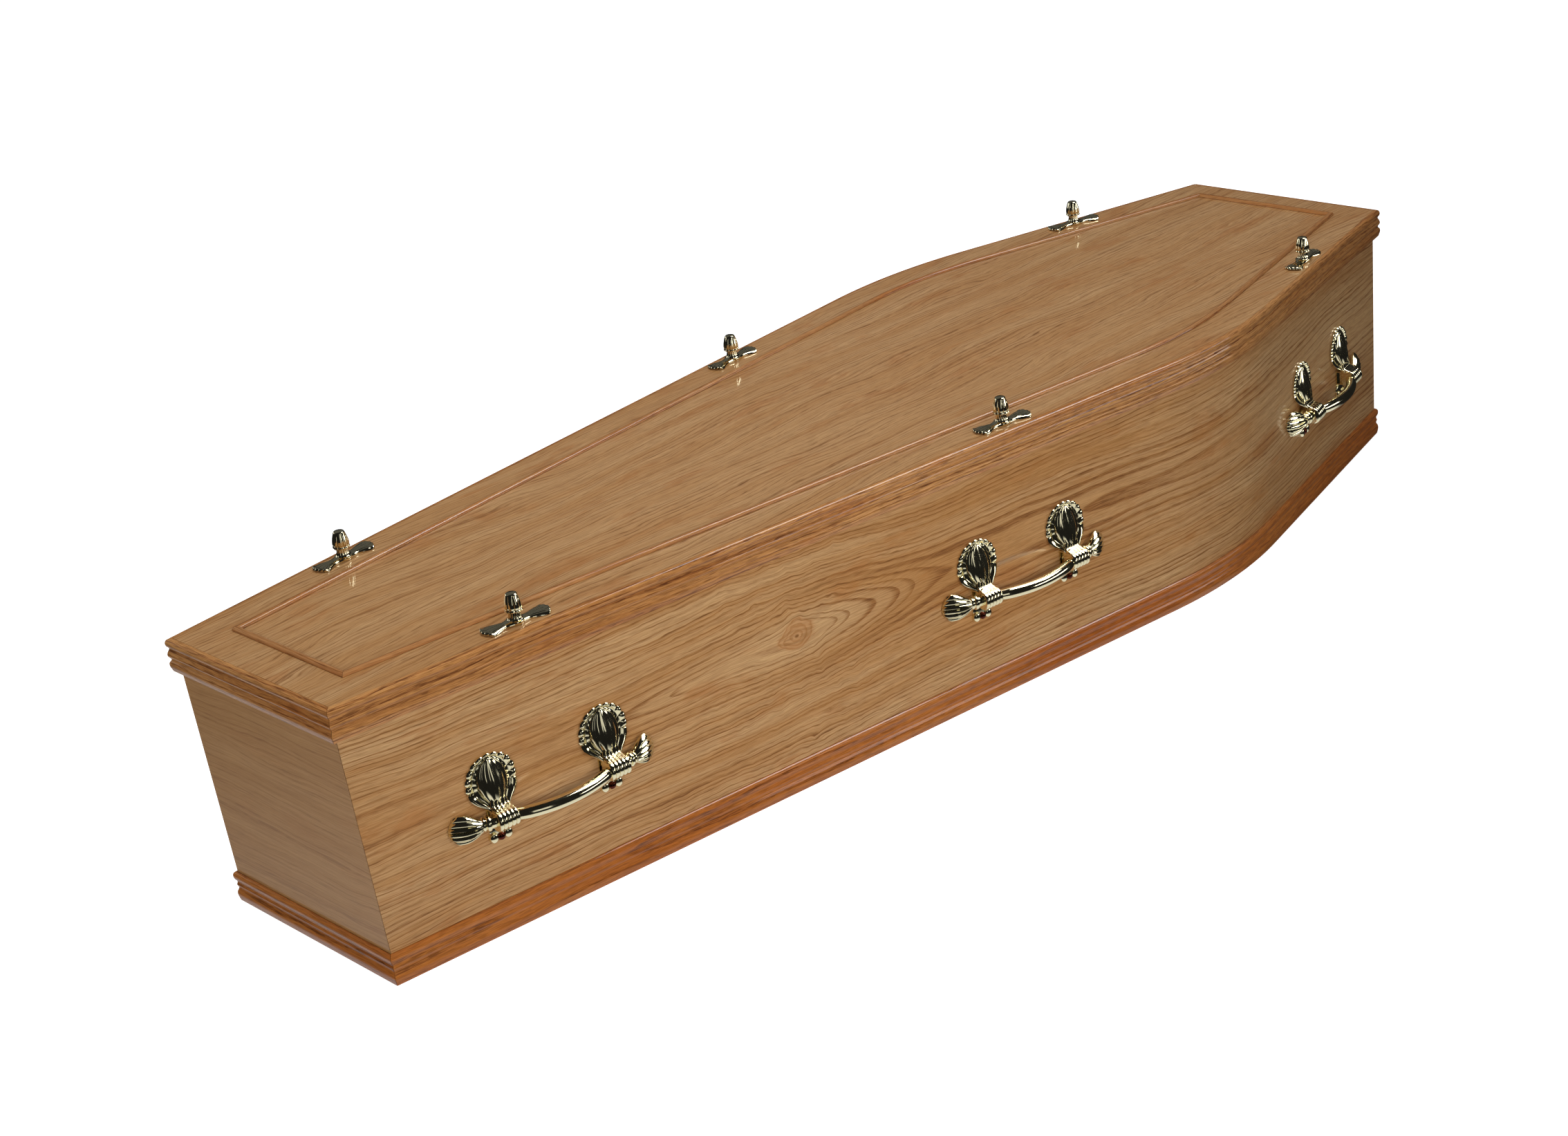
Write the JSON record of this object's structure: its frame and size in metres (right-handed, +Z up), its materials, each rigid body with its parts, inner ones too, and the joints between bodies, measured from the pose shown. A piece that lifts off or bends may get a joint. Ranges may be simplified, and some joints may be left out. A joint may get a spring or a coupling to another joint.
{
  "type": "wooden coffin",
  "caption": "Shouldered wooden coffin with a flat lift-off lid, reeded edge mouldings, brass shell-bracket bar handles and wreath holders on the lid.",
  "frame": {"origin": "on the floor, at the middle of the overall length and width", "axes": "+X from the foot end to the head end, +Y to the right-hand side of the person laid in it, +Z up"},
  "size_m": [1.98, 0.6402, 0.4012],
  "materials": {
    "oak_board": "gloss lacquered oak veneer, honey brown with darker grain along the length",
    "oak_moulding": "gloss lacquered solid oak, redder and darker than the boards",
    "brass": "bright polished pale brass plating",
    "screw": "dark bronzed screw head, polished"
  },
  "bodies": {
    "root": {"base_board": "oak_board", "side_board_left": "oak_board", "side_board_right": "oak_board", "foot_board": "oak_board", "head_board": "oak_board", "lid_board": "oak_board", "lid_moulding_left": "oak_moulding", "lid_moulding_right": "oak_moulding", "lid_moulding_foot": "oak_moulding", "lid_moulding_head": "oak_moulding", "plinth_moulding_left": "oak_moulding", "plinth_moulding_right": "oak_moulding", "plinth_moulding_foot": "oak_moulding", "plinth_moulding_head": "oak_moulding", "lid_bead_left": "oak_moulding", "lid_bead_right": "oak_moulding", "lid_bead_foot": "oak_moulding", "lid_bead_head": "oak_moulding", "handle_bar_left_foot": "brass", "handle_bracket_left_foot_footward": "brass", "handle_screw_left_foot_footward": "screw", "handle_bracket_left_foot_headward": "brass", "handle_screw_left_foot_headward": "screw", "handle_bar_left_middle": "brass", "handle_bracket_left_middle_footward": "brass", "handle_screw_left_middle_footward": "screw", "handle_bracket_left_middle_headward": "brass", "handle_screw_left_middle_headward": "screw", "handle_bar_left_head": "brass", "handle_bracket_left_head_footward": "brass", "handle_screw_left_head_footward": "screw", "handle_bracket_left_head_headward": "brass", "handle_screw_left_head_headward": "screw", "handle_bar_right_foot": "brass", "handle_bracket_right_foot_footward": "brass", "handle_screw_right_foot_footward": "screw", "handle_bracket_right_foot_headward": "brass", "handle_screw_right_foot_headward": "screw", "handle_bar_right_middle": "brass", "handle_bracket_right_middle_footward": "brass", "handle_screw_right_middle_footward": "screw", "handle_bracket_right_middle_headward": "brass", "handle_screw_right_middle_headward": "screw", "handle_bar_right_head": "brass", "handle_bracket_right_head_footward": "brass", "handle_screw_right_head_footward": "screw", "handle_bracket_right_head_headward": "brass", "handle_screw_right_head_headward": "screw", "wreath_holder_plate_left_foot": "brass", "wreath_holder_cap_left_foot": "brass", "wreath_holder_plate_left_middle": "brass", "wreath_holder_cap_left_middle": "brass", "wreath_holder_plate_left_head": "brass", "wreath_holder_cap_left_head": "brass", "wreath_holder_plate_right_foot": "brass", "wreath_holder_cap_right_foot": "brass", "wreath_holder_plate_right_middle": "brass", "wreath_holder_cap_right_middle": "brass", "wreath_holder_plate_right_head": "brass", "wreath_holder_cap_right_head": "brass"}
  },
  "joints": []
}
